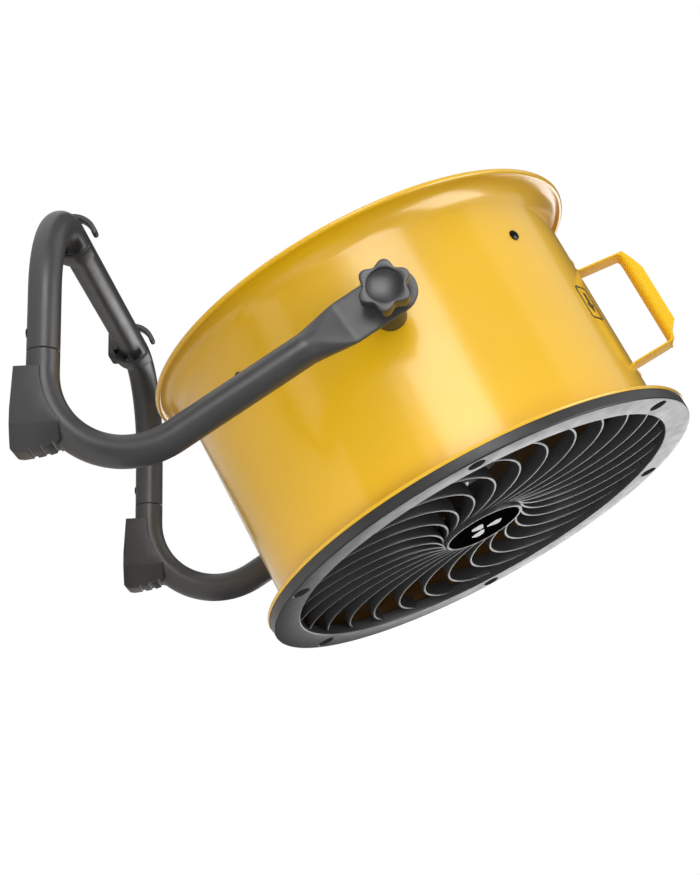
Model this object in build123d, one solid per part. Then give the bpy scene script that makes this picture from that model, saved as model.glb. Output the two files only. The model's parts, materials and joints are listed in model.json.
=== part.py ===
from build123d import *
from math import cos, radians, sin, sqrt
import os

# Drum fan that tilts on a bent-tube floor stand.  All sizes in millimetres.
# Frame: +Z up, floor at z = 0, air leaves towards -Y, the tilt axis runs along X.  Everything
# is drawn with the tilt axis straight above the origin, and is moved by SHIFT_Y as it is saved,
# so that the origin lies under the middle of the object.
# "Left" is the -X side and "right" the +X side.

# ---------------------------------------------------------------- driving dimensions
# stand
TUBE_D = 31.8
TUBE_WALL = 2.0
RAIL_X = 267.0              # the two rails' centre planes
RAIL_Z = 26.0               # rail centre line above the floor
PIVOT_Z = 349.5             # tilt axis above the floor
ARM_SLOPE = 57.5            # degrees above horizontal
FRONT_BEND_R = 81.0
REAR_BEND_R = 96.0
REAR_BAR_Y = 123.0
JOINT_Y = -38.0             # where each arm tube plugs into the base tube
SPIGOT_L = 45.0
EYE_T = 4.4                 # flattened tube end
EYE_W = 46.0
EYE_FLAT_L = 46.0           # flat from the tilt axis down the arm
EYE_ROUND_L = 90.0          # round again from here
EYE_HOLE_R = 8.0
EYE_BEYOND = 8.0            # the eye's round end is centred this far past the tilt axis

# front feet and rear clips
FOOT_HALF_W = 20.0
FOOT_BACK = 57.0            # distances forward of the tilt axis
FOOT_NOSE = 139.0
FOOT_TOP = 46.5
FOOT_SCREW_F = 78.0
CLIP_X = 157.0
CLIP_W = 24.0
CLIP_R_IN = 21.0
CLIP_R_OUT = 24.5
CLIP_TONGUE_W = 12.0
CLIP_TONGUE_T = 5.5

# drum
TILT = 26.0                 # degrees the outlet points above horizontal at rest
DRUM_R = 216.6
DRUM_WALL = 1.5
GRILLE_FACE = 173.7         # along the drum axis from the tilt axis
GRILLE_T = 11.0
FLANGE_R = 241.0
FLARE_START = -77.6
FLARE_R = 24.0
LIP_R = 242.0
LIP_BEAD_R = 3.0
SIDE_SCREW_S = -39.0        # four side screws, at 45 degrees to the tilt axis
SIDE_SCREW_R = 3.0

# front grille
GRILLE_R = 240.1
GRILLE_OPEN_R = 210.9
GRILLE_SCREW_PCR = 227.4
GRILLE_SCREWS = 6
RIBS = 28
RIB_PHASE = 6.9             # degrees from the tilt axis to the first rib arc's centre
RIB_ARC_R = 93.0
RIB_ARC_OFFSET = 138.3      # from the drum axis to each rib arc's centre
RIB_W = 3.2
RIB_FRONT = 4.5             # ribs stand this far behind the ring's face
RIB_DEEP = 15.0
HUB_R = 44.5
BADGE_R = 40.5

# blank label on the drum
LABEL_AT = 115.5            # degrees round from the tilt axis, 90 being the drum's top
LABEL_S = 40.0
LABEL_L = 40.0
LABEL_W = 30.0

# carrying handle, on top of the drum
STRAP_W = 25.0
STRAP_T = 2.0
GRIP_UNDER = 266.0          # from the drum axis
GRIP_TOP = 280.5
GRIP_BACK = -22.0
GRIP_FRONT = 91.5
LEG_SPLAY = 3.5
HANDLE_FOOT = 22.0

# tilt clamp on each side
SPACER_R = 16.0
STUD_R = 5.0
KNOB_R = 27.0
KNOB_LOBES = 6
KNOB_LOBE_R = 6.5
WASHER_T = 2.0

# motor, impeller and controls
BRACKET_Z = -28.0
MOTOR_R = 66.0
SHAFT_R = 7.5
BEARING_R = 17.5
BEARING_W = 11.0
STATOR_R = 62.5
BORE_R = 38.5
SLOTS = 18
BLADES = 5
BLADE_TIP_R = 205.0
FAN_HUB_R = 55.0
BOX_R = 48.0
BOX_BACK = -98.0
GLAND_AT = 225.0            # degrees round from the tilt axis
GLAND_R = 33.0
GUARD_S = -99.5
GUARD_RINGS = 15
GUARD_IN_R = 53.0
GUARD_OUT_R = 223.0

FIT = 0.05                  # radial play of a shaft or screw in its hole
SHIFT_Y = 30.9              # from the tilt axis back to the middle of the whole object's depth
TUBE_R = TUBE_D / 2
SIDES = (("left", -1), ("right", 1))

# the drum's own frame: local Z is the air direction, local Y is the drum's top
DRUM = Location(Plane(
    origin=(0, 0, PIVOT_Z),
    x_dir=(1, 0, 0),
    z_dir=(0, -cos(radians(TILT)), sin(radians(TILT))),
))
RZ = Plane.XZ               # revolve profiles are drawn as (radius, height)


# ---------------------------------------------------------------- small helpers
def rod(radius, low, high):
    """Cylinder on the local Z axis."""
    return Pos(0, 0, (low + high) / 2) * Cylinder(radius, high - low)


def pipe(outer, inner, low, high):
    return rod(outer, low, high) - rod(inner, low - 1, high + 1)


def along_x(shape):
    """Turn a shape built on Z so that its +Z points along +X."""
    return Rot(0, 90, 0) * shape


def around(count, first=0.0):
    """Rotations that repeat a shape about the local Z axis."""
    return [Rot(0, 0, first + 360 / count * i) for i in range(count)]


def fused(first, others):
    return first.fuse(*others) if others else first


def pan_screw(shank_r, length, head_r, head_h):
    """Screw on Z: head above z = 0, shank below, cross recess in the head."""
    body = rod(shank_r, -length, 0) + rod(head_r, 0, head_h)
    body = fillet(body.edges().group_by(Axis.Z)[-1], head_h * 0.45)
    slot = Box(head_r * 1.1, head_r * 0.28, head_h, align=(Align.CENTER, Align.CENTER, Align.MIN))
    return body - Pos(0, 0, head_h * 0.5) * (slot + Rot(0, 0, 90) * slot)


def hex_nut(across, height, hole_r):
    return extrude(RegularPolygon(across / 2, 6, major_radius=False), height) - rod(hole_r, -1, height + 1)


def compound(shapes, name):
    result = Compound(children=list(shapes))
    result.label = name
    return result


# ---------------------------------------------------------------- stand: where the tube runs
RISE = PIVOT_Z - RAIL_Z
SLOPE = radians(ARM_SLOPE)
BEND_F = ((RISE - FRONT_BEND_R) * cos(SLOPE) - FRONT_BEND_R) / sin(SLOPE)
BEND_Z = RAIL_Z + FRONT_BEND_R
ARM_DIR = Vector(0, cos(SLOPE), sin(SLOPE))


def arm_point(x, length):
    """Point on the arm's centre line, measured down from the tilt axis."""
    return Vector(x, 0, PIVOT_Z) - ARM_DIR * length


def bend_point(x, angle):
    """Point on the front bend; 0 degrees is straight forward, -90 straight down."""
    a = radians(angle)
    return Vector(x, -(BEND_F + FRONT_BEND_R * cos(a)), BEND_Z + FRONT_BEND_R * sin(a))


def arm_path(x, start_y):
    start = Vector(x, start_y, RAIL_Z)
    low = bend_point(x, -90)
    high = bend_point(x, 90 - ARM_SLOPE)
    middle = bend_point(x, -ARM_SLOPE / 2)
    return Line(start, low) + ThreePointArc(low, middle, high) + Line(high, arm_point(x, EYE_ROUND_L))


def swept(path, radius):
    wire = Wire(path.edges())
    return sweep(Plane(origin=wire @ 0, z_dir=wire % 0) * Circle(radius), path=wire)


def arm_tube(x):
    path = arm_path(x, JOINT_Y)
    top = Plane(origin=arm_point(x, EYE_ROUND_L), x_dir=(1, 0, 0), z_dir=ARM_DIR)
    crease = Plane(origin=arm_point(x, EYE_FLAT_L), x_dir=(1, 0, 0), z_dir=ARM_DIR)
    pocket = Plane(origin=arm_point(x, EYE_FLAT_L + 8), x_dir=(1, 0, 0), z_dir=ARM_DIR)
    taper = loft([top * Circle(TUBE_R), crease * RectangleRounded(EYE_T, EYE_W, EYE_T * 0.4)])
    hollow = loft([top * Circle(TUBE_R - TUBE_WALL), pocket * RectangleRounded(0.8, EYE_W - 14, 0.3)])
    flat = Plane(origin=(x, 0, PIVOT_Z), x_dir=-ARM_DIR, z_dir=(1, 0, 0))
    eye = Pos((EYE_FLAT_L - EYE_BEYOND) / 2, 0) * Rectangle(EYE_FLAT_L + EYE_BEYOND, EYE_W)
    eye += Pos(-EYE_BEYOND, 0) * Circle(EYE_W / 2)
    eye -= Circle(EYE_HOLE_R)
    tube = swept(path, TUBE_R) - swept(path, TUBE_R - TUBE_WALL)
    tube += taper - hollow
    tube += extrude(flat * eye, EYE_T / 2, both=True)
    spigot_r = TUBE_R - TUBE_WALL - FIT
    spigot = Pos(x, JOINT_Y - 6, RAIL_Z) * Rot(-90, 0, 0) * pipe(spigot_r, spigot_r - 2, 0, SPIGOT_L)
    shoulder = Pos(x, JOINT_Y - 6, RAIL_Z) * Rot(-90, 0, 0) * pipe(TUBE_R - 0.5, spigot_r - 2, 0, 6)
    foot_hole = Pos(x, -FOOT_SCREW_F, 0) * rod(2.5 + FIT, 0, RAIL_Z)
    return tube + shoulder + spigot - joint_hole(x) - foot_hole


def joint_hole(x):
    return Pos(x, JOINT_Y + 20, 0) * rod(2.5 + FIT, RAIL_Z - TUBE_R - 4, RAIL_Z)


def base_tube():
    near = RAIL_X - REAR_BEND_R
    side = REAR_BAR_Y - REAR_BEND_R
    diag = REAR_BEND_R * (1 - sqrt(0.5))

    def p(x, y):
        return Vector(x, y, RAIL_Z)

    path = Line(p(-RAIL_X, JOINT_Y + 0.5), p(-RAIL_X, side))
    path += ThreePointArc(p(-RAIL_X, side), p(-RAIL_X + diag, REAR_BAR_Y - diag), p(-near, REAR_BAR_Y))
    path += Line(p(-near, REAR_BAR_Y), p(near, REAR_BAR_Y))
    path += ThreePointArc(p(near, REAR_BAR_Y), p(RAIL_X - diag, REAR_BAR_Y - diag), p(RAIL_X, side))
    path += Line(p(RAIL_X, side), p(RAIL_X, JOINT_Y + 0.5))
    tube = swept(path, TUBE_R) - swept(path, TUBE_R - TUBE_WALL)
    for name, s in SIDES:
        tube -= joint_hole(s * RAIL_X)
        tube -= Pos(s * CLIP_X, REAR_BAR_Y, 0) * rod(2.5 + FIT, 0, RAIL_Z)
    return tube


# ---------------------------------------------------------------- stand: feet and clips
def front_foot(x):
    """Boot that clasps the outside of the front bend, with a ridged nose."""
    side = Plane(origin=(x, 0, 0), x_dir=(0, -1, 0), z_dir=(-1, 0, 0))
    high = sqrt(FRONT_BEND_R ** 2 - (110 - BEND_F) ** 2)
    mid = sqrt(FRONT_BEND_R ** 2 - (85 - BEND_F) ** 2)
    cheek = Line((BEND_F, RAIL_Z + 1), (FOOT_BACK, RAIL_Z + 1))
    cheek += Line((FOOT_BACK, RAIL_Z + 1), (FOOT_BACK, 2.5))
    nose = FOOT_NOSE
    cheek += Polyline((FOOT_BACK, 2.5), (98, 0), (nose - 3.5, 0), (nose - 1, 2.5), (nose, 8), (nose - 1.5, 20))
    cheek += Polyline((nose - 1.5, 20), (nose - 4.5, 34), (nose - 9, FOOT_TOP), (112, FOOT_TOP - 1))
    cheek += Line((112, FOOT_TOP - 1), (110, BEND_Z - high + 1))
    cheek += ThreePointArc((110, BEND_Z - high + 1), (85, BEND_Z - mid + 1), (BEND_F, RAIL_Z + 1))
    body = extrude(side * make_face(cheek), FOOT_HALF_W, both=True)
    plan = make_face(Polyline(
        (-FOOT_HALF_W, -50), (FOOT_HALF_W, -50), (FOOT_HALF_W, -113), (FOOT_HALF_W - 3, -125),
        (FOOT_HALF_W - 8, -nose), (8 - FOOT_HALF_W, -nose), (3 - FOOT_HALF_W, -125),
        (-FOOT_HALF_W, -113), (-FOOT_HALF_W, -50)))
    body &= extrude(Pos(x, 0, 0) * plan, 60)
    for z, deep in ((19.5, 3.5), (30.5, 5.5), (41, 9.0)):
        body -= Pos(x, -nose, z) * Box(50, 2 * deep, 4.2)
    body -= swept(arm_path(x, -40), TUBE_R + FIT)
    body -= Pos(x, -FOOT_SCREW_F, 0) * (rod(5.6, -1, 5) + rod(2.5 + FIT, 0, 20))
    return body


def foot_screw_spots():
    return [Pos(s * RAIL_X, -FOOT_SCREW_F, 5) * Rot(180, 0, 0) for name, s in SIDES]


def cord_clip(x):
    """Rear foot under the cross bar; its C keeps a wound cord on the bar."""
    side = Plane(origin=(x, REAR_BAR_Y, RAIL_Z), x_dir=(0, 1, 0), z_dir=(1, 0, 0))
    ring = Circle(CLIP_R_OUT) - Circle(CLIP_R_IN)
    front = Polyline((0, 0), (-30, 49), (-60, 49), (-60, -60), (60, -60), (60, -12), (0, 0))
    rear = Polyline((0, 0), (60, -14), (60, 60), (11.6, 60), (0, 0))
    cup = ring & make_face(front)
    tongue = (Circle(CLIP_R_IN + CLIP_TONGUE_T) - Circle(CLIP_R_IN)) & make_face(rear)
    below = Polyline((0, 0), (-60, -22), (-60, -60), (60, -60), (60, -22), (0, 0))
    web = (Circle(CLIP_R_IN + 1) - Circle(TUBE_R + FIT)) & make_face(below)
    pad = Pos(0, -RAIL_Z + 6) * RectangleRounded(32, 12, 4)
    pad -= Circle(CLIP_R_IN)
    saddle = Pos(0, -18.5) * Rectangle(13, 8)
    body = extrude(side * (cup + pad + saddle), CLIP_W / 2, both=True)
    body += extrude(side * tongue, CLIP_TONGUE_W / 2, both=True)
    body += extrude(side * web, 3, both=True)
    body -= Pos(x, REAR_BAR_Y, RAIL_Z) * along_x(rod(TUBE_R + FIT, -60, 60))
    body -= Pos(x, REAR_BAR_Y, 0) * (rod(4.8, -1, 3.5) + rod(2.5 + FIT, 0, 20))
    return body


def stand_parts():
    parts = {"base_tube": base_tube()}
    for name, s in SIDES:
        parts[name + "_arm_tube"] = arm_tube(s * RAIL_X)
        parts[name + "_front_foot"] = front_foot(s * RAIL_X)
        parts[name + "_cord_clip"] = cord_clip(s * CLIP_X)
    screw = pan_screw(2.5, 14, 5.0, 3.0)
    parts["foot_screws"] = compound([p * screw for p in foot_screw_spots()], "foot_screws")
    under = pan_screw(2.5, 12, 4.4, 2.4)
    clips = [Pos(s * CLIP_X, REAR_BAR_Y, 3.5) * Rot(180, 0, 0) * under for name, s in SIDES]
    parts["clip_screws"] = compound(clips, "clip_screws")
    low = RAIL_Z - TUBE_R - 0.1
    rivet = rod(2.5, -6, 0) + rod(4.5, 0, 0.5)
    rivets = [Pos(s * RAIL_X, JOINT_Y + 20, low) * Rot(180, 0, 0) * rivet for name, s in SIDES]
    parts["tube_rivets"] = compound(rivets, "tube_rivets")
    return parts


# ---------------------------------------------------------------- drum housing and what bolts to it
FLANGE_S = GRILLE_FACE - GRILLE_T
INNER_R = DRUM_R - DRUM_WALL
FLARE_C = DRUM_R + FLARE_R          # radius where the flare's centre of curvature sits


def flare_point(radius, angle):
    """Point on an arc about the flare's centre, as (radius, height)."""
    a = radians(angle)
    return (FLARE_C - radius * cos(a), FLARE_START - radius * sin(a))


def grille_spots():
    return [r * Pos(GRILLE_SCREW_PCR, 0, 0) for r in around(GRILLE_SCREWS)]


def side_spots(radius):
    """Local frames at the four side screws, Z pointing out through the wall."""
    return [Rot(0, 0, 45 + 90 * i) * Pos(radius, 0, SIDE_SCREW_S) * Rot(0, 90, 0) for i in range(4)]


def handle_screw_spots():
    back = GRIP_BACK - LEG_SPLAY - HANDLE_FOOT / 2
    front = GRIP_FRONT + LEG_SPLAY + HANDLE_FOOT / 2
    seat = DRUM_R + STRAP_T + 0.1
    return [Pos(x, seat, s) * Rot(-90, 0, 0) for s in (back, front) for x in (-6.5, 6.5)]


def drum_housing():
    wall = Polyline((FLANGE_R, FLANGE_S - 2), (FLANGE_R, FLANGE_S), (INNER_R, FLANGE_S),
                    (INNER_R, FLARE_START))
    wall += ThreePointArc((INNER_R, FLARE_START), flare_point(FLARE_R + DRUM_WALL, 45),
                          flare_point(FLARE_R + DRUM_WALL, 88))
    wall += Line(flare_point(FLARE_R + DRUM_WALL, 88), flare_point(FLARE_R, 88))
    wall += ThreePointArc(flare_point(FLARE_R, 88), flare_point(FLARE_R, 45), (DRUM_R, FLARE_START))
    wall += Polyline((DRUM_R, FLARE_START), (DRUM_R, FLANGE_S - 2), (FLANGE_R, FLANGE_S - 2))
    bead = Pos(LIP_R - LIP_BEAD_R, FLARE_START - FLARE_R + 0.6) * Circle(LIP_BEAD_R)
    curl = Pos(FLANGE_R - 1.2, FLANGE_S - 2.2) * Circle(1.6)
    shell = revolve(RZ * (make_face(wall) + bead + curl), Axis.Z)
    shell -= along_x(rod(STUD_R + FIT, -300, 300))
    holes = [p * rod(SIDE_SCREW_R + FIT, -6, 6) for p in side_spots(DRUM_R)]
    holes += [p * rod(2.5 + FIT, -8, 2) for p in handle_screw_spots()]
    holes += [p * rod(2.5 + FIT, FLANGE_S - 4, FLANGE_S + 2) for p in grille_spots()]
    return shell - holes


def rib():
    """One curved rib: an arc band trimmed between the hub and the ring."""
    place = Pos(RIB_ARC_OFFSET, 0)
    band = place * (Circle(RIB_ARC_R + RIB_W / 2) - Circle(RIB_ARC_R - RIB_W / 2))
    zone = Circle(GRILLE_OPEN_R + 1) - Circle(HUB_R - 2)
    reach = Pos(RIB_ARC_OFFSET / 2, -120) * Rectangle(400, 240)
    back = GRILLE_FACE - RIB_FRONT - RIB_DEEP
    return Pos(0, 0, back) * extrude(band & zone & reach, RIB_DEEP)


def front_grille():
    face = GRILLE_FACE
    ring = pipe(GRILLE_R, GRILLE_OPEN_R, FLANGE_S, face)
    ring = fillet(ring.edges().filter_by(GeomType.CIRCLE).group_by(Axis.Z)[-1], 1.6)
    ring -= pipe(GRILLE_R - 4, GRILLE_OPEN_R + 3.5, FLANGE_S - 1, face - 3.5)
    bosses = [p * rod(11, FLANGE_S, face - 1) for p in grille_spots()]
    ring = ring + [b & pipe(GRILLE_R - 2, GRILLE_OPEN_R + 1, FLANGE_S, face) for b in bosses]
    ring -= [p * (rod(8.5, face - 6, face + 1) + rod(2.5 + FIT, 0, face)) for p in grille_spots()]
    hub_back = face - RIB_FRONT - RIB_DEEP
    hub = rod(HUB_R, hub_back, face - 1) - rod(HUB_R - 3, hub_back - 1, face - 5)
    hub = fillet(hub.edges().filter_by(GeomType.CIRCLE).group_by(Axis.Z)[-1], 1.2)
    hub -= rod(BADGE_R + 0.2, face - 2.4, face)
    one = rib()
    return fused(ring, [hub] + [r * one for r in around(RIBS, RIB_PHASE)])


def hub_badge():
    disc = rod(BADGE_R, GRILLE_FACE - 2.4, GRILLE_FACE - 1.2)
    return fillet(disc.edges().group_by(Axis.Z)[-1], 0.4)


def drum_label():
    """Blank label on the drum's upper left shoulder."""
    skin = pipe(DRUM_R + 0.35, DRUM_R + 0.01, -60, 120)
    patch = extrude(RectangleRounded(LABEL_L, LABEL_W, 4), 20, both=True)
    return skin & (Rot(0, 0, LABEL_AT) * Pos(DRUM_R, 0, LABEL_S) * Rot(0, 90, 0) * patch)


def handle():
    side = Plane(origin=(0, 0, 0), x_dir=(0, 0, 1), z_dir=(1, 0, 0))      # draws (axis, -height)
    under = GRIP_UNDER
    seat = DRUM_R + 0.1
    back = GRIP_BACK - LEG_SPLAY
    front = GRIP_FRONT + LEG_SPLAY
    t = STRAP_T

    def out(points):
        return [(a, -h) for a, h in points]

    outer = FilletPolyline(*out([
        (back - HANDLE_FOOT, seat + t), (back, seat + t), (GRIP_BACK, under + t),
        (GRIP_FRONT, under + t), (front, seat + t), (front + HANDLE_FOOT, seat + t)]), radius=5)
    inner = FilletPolyline(*out([
        (back - HANDLE_FOOT, seat), (back + t, seat), (GRIP_BACK + t, under),
        (GRIP_FRONT - t, under), (front - t, seat), (front + HANDLE_FOOT, seat)]), radius=3.5)
    ends = Line(outer @ 0, inner @ 0) + Line(outer @ 1, inner @ 1)
    strap = extrude(side * make_face(outer + inner + ends), STRAP_W / 2, both=True)
    # grip: a channel with its sides turned up, ends tapered
    high = GRIP_TOP - under
    u_shape = RectangleRounded(STRAP_W, high + 20, 5.5) - RectangleRounded(STRAP_W - 2 * t, high + 20 - 2 * t, 3.5)
    u_shape &= Pos(0, -(high + 20) / 2) * Rectangle(STRAP_W + 2, 2 * high)
    channel = Pos(0, under + (high + 20) / 2, GRIP_BACK) * extrude(u_shape, GRIP_FRONT - GRIP_BACK)
    cheek = Polyline(*out([
        (GRIP_BACK, under - 2), (GRIP_BACK, under + 4), (GRIP_BACK + 12, under + 9.5),
        (GRIP_BACK + 27, GRIP_TOP), (GRIP_FRONT - 20, GRIP_TOP), (GRIP_FRONT - 9, under + 6),
        (GRIP_FRONT, under + 3), (GRIP_FRONT, under - 2), (GRIP_BACK, under - 2)]))
    channel &= extrude(side * make_face(cheek), STRAP_W, both=True)
    middle = GRIP_FRONT - GRIP_BACK - 16
    gap = Pos(0, under + 5, (GRIP_FRONT + GRIP_BACK) / 2) * Box(STRAP_W + 2, 20, middle)
    solid = (strap - gap) + channel
    return solid - [p * rod(2.5 + FIT, -8, 2) for p in handle_screw_spots()]


def rear_guard():
    """Welded wire guard in the inlet, on four straps under the side screws."""
    wire = 1.3
    step = (GUARD_OUT_R - GUARD_IN_R) / (GUARD_RINGS - 1)
    rings = [Pos(0, 0, GUARD_S - 1.9) * Torus(GUARD_IN_R + step * i, wire) for i in range(GUARD_RINGS)]
    reach = GUARD_OUT_R + wire
    spoke = Pos((GUARD_IN_R + reach) / 2, 0, GUARD_S) * Rot(0, 90, 0) * Cylinder(1.8, reach - GUARD_IN_R)
    spokes = [r * spoke for r in around(8)]
    r0 = FLARE_R + DRUM_WALL + 0.05
    strap = Polyline((INNER_R - 0.05, FLARE_START), (INNER_R - 0.05, SIDE_SCREW_S + 9),
                     (INNER_R - 2.05, SIDE_SCREW_S + 9), (INNER_R - 2.05, FLARE_START))
    strap += ThreePointArc((INNER_R - 2.05, FLARE_START), flare_point(r0 + 2, 28), flare_point(r0 + 2, 56))
    strap += Line(flare_point(r0 + 2, 56), flare_point(r0, 56))
    strap += ThreePointArc(flare_point(r0, 56), flare_point(r0, 28), (INNER_R - 0.05, FLARE_START))
    tab = Rot(0, 0, -2.2) * revolve(RZ * make_face(strap), Axis.Z, revolution_arc=4.4)
    hole = [p * rod(SIDE_SCREW_R + FIT, -8, 4) for p in side_spots(DRUM_R)]
    tabs = [r * tab for r in around(4, 45)]
    return fused(rings[0], rings[1:] + spokes + tabs) - hole


def motor_bracket():
    """Pressed plate with four arms; each arm's foot sits under a side screw."""
    plate = rod(78, BRACKET_Z - 1.5, BRACKET_Z + 1.5)
    reach = INNER_R - 2.15
    arm = Pos(reach / 2, 0, BRACKET_Z) * Box(reach, 34, 3)
    foot_zone = Pos(reach, 0, (BRACKET_Z + 1.5 + SIDE_SCREW_S - 12) / 2)
    foot_zone = foot_zone * Box(30, 34, BRACKET_Z + 1.5 - SIDE_SCREW_S + 12)
    shell = pipe(reach, reach - 3, -90, 0)
    arms = [r * (arm & rod(reach, -90, 0)) for r in around(4, 45)]
    feet = [r * (foot_zone & shell) for r in around(4, 45)]
    body = fused(plate, arms + feet)
    body -= [p * rod(SIDE_SCREW_R + FIT, -9, 4) for p in side_spots(DRUM_R)]
    body -= [r * Pos(50, 0, BRACKET_Z) * rod(3 + FIT, -5, 5) for r in around(4)]
    return body - Pos(0, 62, 0) * rod(8, BRACKET_Z - 5, BRACKET_Z + 5)


def grille_screws():
    screw = pan_screw(2.5, 14, 4.6, 3.0)
    return compound([p * Pos(0, 0, GRILLE_FACE - 6) * screw for p in grille_spots()], "grille_screws")


def side_screws():
    screw = pan_screw(SIDE_SCREW_R, 12, 5.6, 3.2)
    return compound([p * screw for p in side_spots(DRUM_R + 0.05)], "side_screws")


def handle_screws():
    screw = pan_screw(2.5, 8, 4.4, 2.2)
    return compound([p * screw for p in handle_screw_spots()], "handle_screws")


# ---------------------------------------------------------------- motor, impeller, controls
REAR_END = BRACKET_Z + 1.5
SHELL_BACK = 0.0
SHELL_FRONT = 34.0
FRONT_END = 58.0
TIE_R = 71.0


def tie_spots():
    return [r * Pos(TIE_R, 0, 0) for r in around(4, 45)]


def end_bell(depth):
    """Cup-shaped bell with its closed end at z = 0 and its rim at z = depth."""
    bell = rod(MOTOR_R, 0, depth)
    bell = fillet(bell.edges().filter_by(GeomType.CIRCLE).group_by(Axis.Z)[0], 8)
    bell -= rod(MOTOR_R - 4, 4.5, depth + 1)
    bell += rod(BEARING_R + 4, 4, 5 + BEARING_W)
    bell -= rod(BEARING_R, 5, 6 + BEARING_W)
    ears = [p * rod(7, depth - 10, depth) for p in tie_spots()]
    webs = [p * Pos(-6, 0, depth - 5) * Box(12, 12, 10) - rod(MOTOR_R - 2, 0, depth) for p in tie_spots()]
    bell = fused(bell, ears + webs)
    return bell - [p * rod(2.5 + FIT, -1, depth + 1) for p in tie_spots()]


def ball_bearing():
    bearing = pipe(BEARING_R - FIT, SHAFT_R + FIT, 0, BEARING_W)
    bearing -= pipe(BEARING_R - 2.6, SHAFT_R + 2.4, BEARING_W - 0.8, BEARING_W + 1)
    return bearing - pipe(BEARING_R - 2.6, SHAFT_R + 2.4, -1, 0.8)


def motor_parts():
    rear = end_bell(SHELL_BACK - REAR_END)
    rear -= [r * Pos(50, 0, 0) * rod(3 + FIT, -1, 8) for r in around(4)]
    front = end_bell(FRONT_END - SHELL_FRONT) - rod(SHAFT_R + 2, -1, 6)
    flip = Pos(0, 0, FRONT_END) * Rot(180, 0, 0)
    shell = pipe(MOTOR_R, STATOR_R, SHELL_BACK, SHELL_FRONT)
    core = pipe(STATOR_R, BORE_R, 3, 31)
    slot = Pos(BORE_R + 8, 0, 17) * Box(18, 5, 40)
    core -= [r * slot for r in around(SLOTS)]
    coil = pipe(56.5, 44, -9, 2.8) + pipe(56.5, 44, 31.2, 43)
    coil = fused(coil, [r * Pos(50, 0, 17) * Box(8, 4.6, 30) for r in around(SLOTS)])
    bolt = rod(2.5, -SHELL_FRONT - 22, 0) + extrude(RegularPolygon(4.5, 6), 3.5)
    tie = [p * Pos(0, 0, SHELL_FRONT + 10) * bolt for p in tie_spots()]
    foot = extrude(RegularPolygon(5.5, 6), 4) + rod(3, -7.5, 0)
    mounts = [r * Pos(50, 0, BRACKET_Z - 1.5) * Rot(180, 0, 0) * foot for r in around(4)]
    return {
        "motor_rear_bell": Pos(0, 0, REAR_END) * rear,
        "motor_front_bell": flip * front,
        "motor_shell": shell,
        "stator_core": core,
        "stator_winding": coil,
        "rear_bearing": Pos(0, 0, REAR_END + 5) * ball_bearing(),
        "front_bearing": flip * Pos(0, 0, 5) * ball_bearing(),
        "motor_tie_bolts": compound(tie, "motor_tie_bolts"),
        "motor_mount_bolts": compound(mounts, "motor_mount_bolts"),
    }


HUB_BACK = 66.0
HUB_FRONT = 112.0
BLADE_MID = 88.0


def blade():
    """Twisted blade along local X: steep at the root, flatter and wider at the tip."""
    def section(radius, chord, pitch):
        face = Plane(origin=(radius, 0, BLADE_MID), x_dir=(0, 1, 0), z_dir=(1, 0, 0))
        return face * (Rot(0, 0, pitch) * RectangleRounded(chord, 3.6, 1.7))

    whole = loft([section(44, 66, 40), section(125, 104, 29), section(BLADE_TIP_R + 6, 122, 21)])
    return whole & pipe(BLADE_TIP_R, FAN_HUB_R - 4, 40, 140)


def impeller():
    hub = rod(FAN_HUB_R, HUB_BACK, HUB_FRONT)
    hub = fillet(hub.edges().group_by(Axis.Z)[-1], 10)
    hub -= pipe(FAN_HUB_R - 5, 15, HUB_BACK - 1, HUB_FRONT - 5)
    hub = fused(hub, [r * blade() for r in around(BLADES)])
    hub -= rod(SHAFT_R, 0, 200)
    return hub - pipe(FAN_HUB_R - 5, 15, HUB_BACK - 1, HUB_FRONT - 5)


def rotor_parts():
    end = REAR_END + 5
    shaft = rod(SHAFT_R, end + 0.5, HUB_FRONT) + rod(6, HUB_FRONT - 1, HUB_FRONT + 13)
    shaft = chamfer(shaft.edges().group_by(Axis.Z)[-1], 1)
    core = pipe(BORE_R - 0.6, SHAFT_R, 3, 31)
    rings = pipe(BORE_R - 2, 24, -2, 36)
    core = core + rings
    washer = pipe(14, 6 + FIT, HUB_FRONT + 0.02, HUB_FRONT + 2.5)
    nut = Pos(0, 0, HUB_FRONT + 2.5) * hex_nut(18, 8, 6)
    return {"motor_shaft": shaft, "rotor_core": core, "impeller": impeller(),
            "impeller_washer": washer, "impeller_nut": nut}


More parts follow.
